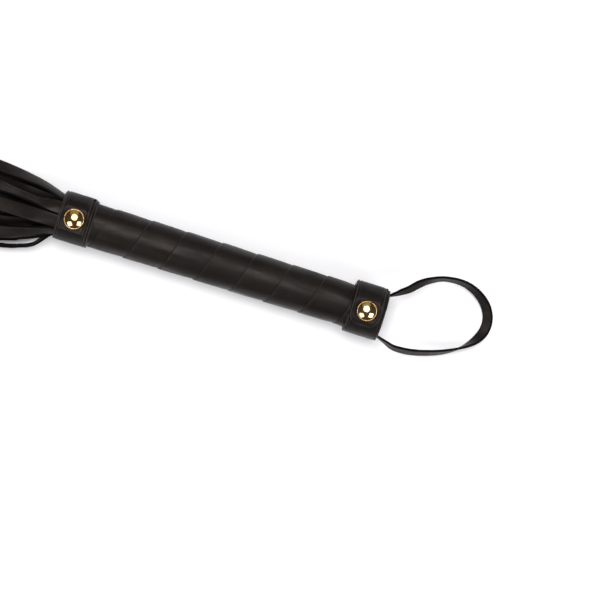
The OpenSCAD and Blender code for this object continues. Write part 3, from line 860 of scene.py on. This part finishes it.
def build_root_core():
    """The innermost roll of leather, which ends a little outside the cuff."""
    per_turn, pitch, thick = 40, 1.42, 1.2
    steps = int(3.1 * per_turn)
    x0, x1 = -GRIP_END - NECK_L - 0.4, SWING_X + 1.0
    points = []
    for i in range(steps + 1):
        angle = 2 * math.pi * i / per_turn
        low = 0.35 + pitch * i / per_turn
        high = min(low + thick, 5.25)
        end_x = x1 + 0.5 * wobble(i / 14, 8.8)
        for x, r in ((x0, low), (x0, high), (end_x + 0.15, high), (end_x, (low + high) / 2),
                     (end_x + 0.1, low)):
            points.append((x, r * math.cos(angle), r * math.sin(angle)))
    piece = mesh_piece("tail_root_core", points, tube_faces(steps + 1, 5), TAIL_LEATHER,
                       "handle", sharp=40)
    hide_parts("tail_root_inner")


# ---- Leather disc that closes the butt cuff, set just inside its mouth

def build_end_disc():
    low, high = box_mm("butt_end_disc")
    sides = 120
    sunk = 0.12             # the outer face lies this far in from the frame's disc
    r_edge = CUFF_IN - 0.15
    rings = [(low.x, r_edge), (high.x - 0.5, r_edge), (high.x - 0.15, r_edge - 0.15),
             (high.x, r_edge - 0.5)]
    rings += [(high.x, r_edge - 1.0 - k * 1.02) for k in range(10)]
    points = []
    for x, r in rings:
        for j in range(sides):
            y, z = wide_round(2 * math.pi * j / sides, r, BUTT_WIDEN * r / r_edge)
            # The strap's two ends pass through a notch on either side
            if abs(y) > CUFF_IN - 1.5:
                notch = ease((STRAP_W / 2 + 0.5 - abs(z)) / 0.5)
                y = mix(y, math.copysign(CUFF_IN + BUTT_WIDEN - 2.0, y), notch)
            sag = 0.12 * wobble(y * 0.3, z * 0.3, 5.5) - sunk if x == high.x else 0
            points.append((x + sag, y, z))
    piece = mesh_piece("butt_end_leather", points, tube_faces(len(rings), sides), CUFF_LEATHER,
                       "handle")
    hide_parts("butt_end_disc")


# ---- Everything on the object

CUFFS = (Cuff("tail", -MOUTH_X, -GRIP_END, widen=0, tongue_w=15.6, tongue_reach=7.4,
              tongue_corner=2.0),
         Cuff("butt", GRIP_END, MOUTH_X, widen=BUTT_WIDEN, tongue_w=17.4, tongue_reach=9.3,
              tongue_corner=7.0))

build_wrap()
for cuff_made in CUFFS:
    build_cuff_band(cuff_made, f"{cuff_made.name}_cuff")
    build_tongue(cuff_made)
for cuff_made in CUFFS:
    build_stud(cuff_made, f"{cuff_made.name}_stud_cap")
build_wrist_strap()
for tail_number in range(1, 21):
    build_tail(tail_number)
build_root_roll()
build_root_core()
build_end_disc()

for node_name, node_material in (("handle_core", WOOD), ("grip_liner", RAW_LEATHER),
                                 ("butt_packing", EDGE_LEATHER), ("tail_stud_nail", NAIL_STEEL),
                                 ("butt_stud_nail", NAIL_STEEL)):
    for material_slot in bpy.data.objects[node_name].material_slots:
        material_slot.material = node_material


# ---- Floor, light and camera, all in metres

IMAGE_UP = Vector((-0.2997, 0.9540, 0.0))
AIM = Vector((0.04888, -0.00548, 0.0))
CAMERA_AT = Vector((-0.040, 0.0, 1.5))
OVERHEAD = Vector((0, 0, 1))


def build_floor():
    mesh = bpy.data.meshes.new("floor")
    size, z = 3.0, (FLOOR_Z - 0.02) * MM
    mesh.from_pydata([(-size, -size, z), (size, -size, z), (size, size, z), (-size, size, z)],
                     [], [(0, 1, 2, 3)])
    mesh.materials.append(floor_paper("floor_paper"))
    floor = bpy.data.objects.new("floor", mesh)
    bpy.context.scene.collection.objects.link(floor)


def aimed(thing):
    """Turns a camera or light to look at the middle of the picture, with the picture's up."""
    forward = (AIM - thing.location).normalized()
    right = forward.cross(IMAGE_UP).normalized()
    true_up = right.cross(forward)
    thing.rotation_euler = Matrix((right, true_up, -forward)).transposed().to_euler()


def add_light(name, shape, size, power, tilt, toward, distance):
    """A soft light above the object, tilted from overhead toward a direction on the floor."""
    data = bpy.data.lights.new(name, "AREA")
    data.shape = shape
    data.size = size
    data.energy = power
    light = bpy.data.objects.new(name, data)
    angle = math.radians(tilt)
    place = toward.normalized() * math.sin(angle) + OVERHEAD * math.cos(angle)
    light.location = AIM + place * distance
    aimed(light)
    bpy.context.scene.collection.objects.link(light)


build_floor()
add_light("key_disk", "DISK", 1.56, 44, 15, IMAGE_UP, distance=2.0)
add_light("left_softbox", "SQUARE", 0.92, 11.5, 52, Vector((-0.50, -0.866, 0)), distance=1.8)
add_light("right_softbox", "SQUARE", 0.92, 11.5, 51, Vector((0.886, -0.463, 0)), distance=1.8)
add_light("top_panel", "DISK", 2.4, 3.6, 50, IMAGE_UP, distance=2.2)

world = bpy.data.worlds.new("studio")
world.use_nodes = True
world.node_tree.nodes["Background"].inputs["Color"].default_value = (1.0, 0.985, 1.0, 1)
world.node_tree.nodes["Background"].inputs["Strength"].default_value = 0.06
bpy.context.scene.world = world
bpy.context.scene.view_settings.view_transform = "Standard"

camera_data = bpy.data.cameras.new("camera")
camera_data.sensor_width = 36
camera_data.lens = 157.15
camera_data.clip_start = 0.01
camera = bpy.data.objects.new("camera", camera_data)
camera.location = CAMERA_AT
aimed(camera)
bpy.context.scene.collection.objects.link(camera)
bpy.context.scene.camera = camera
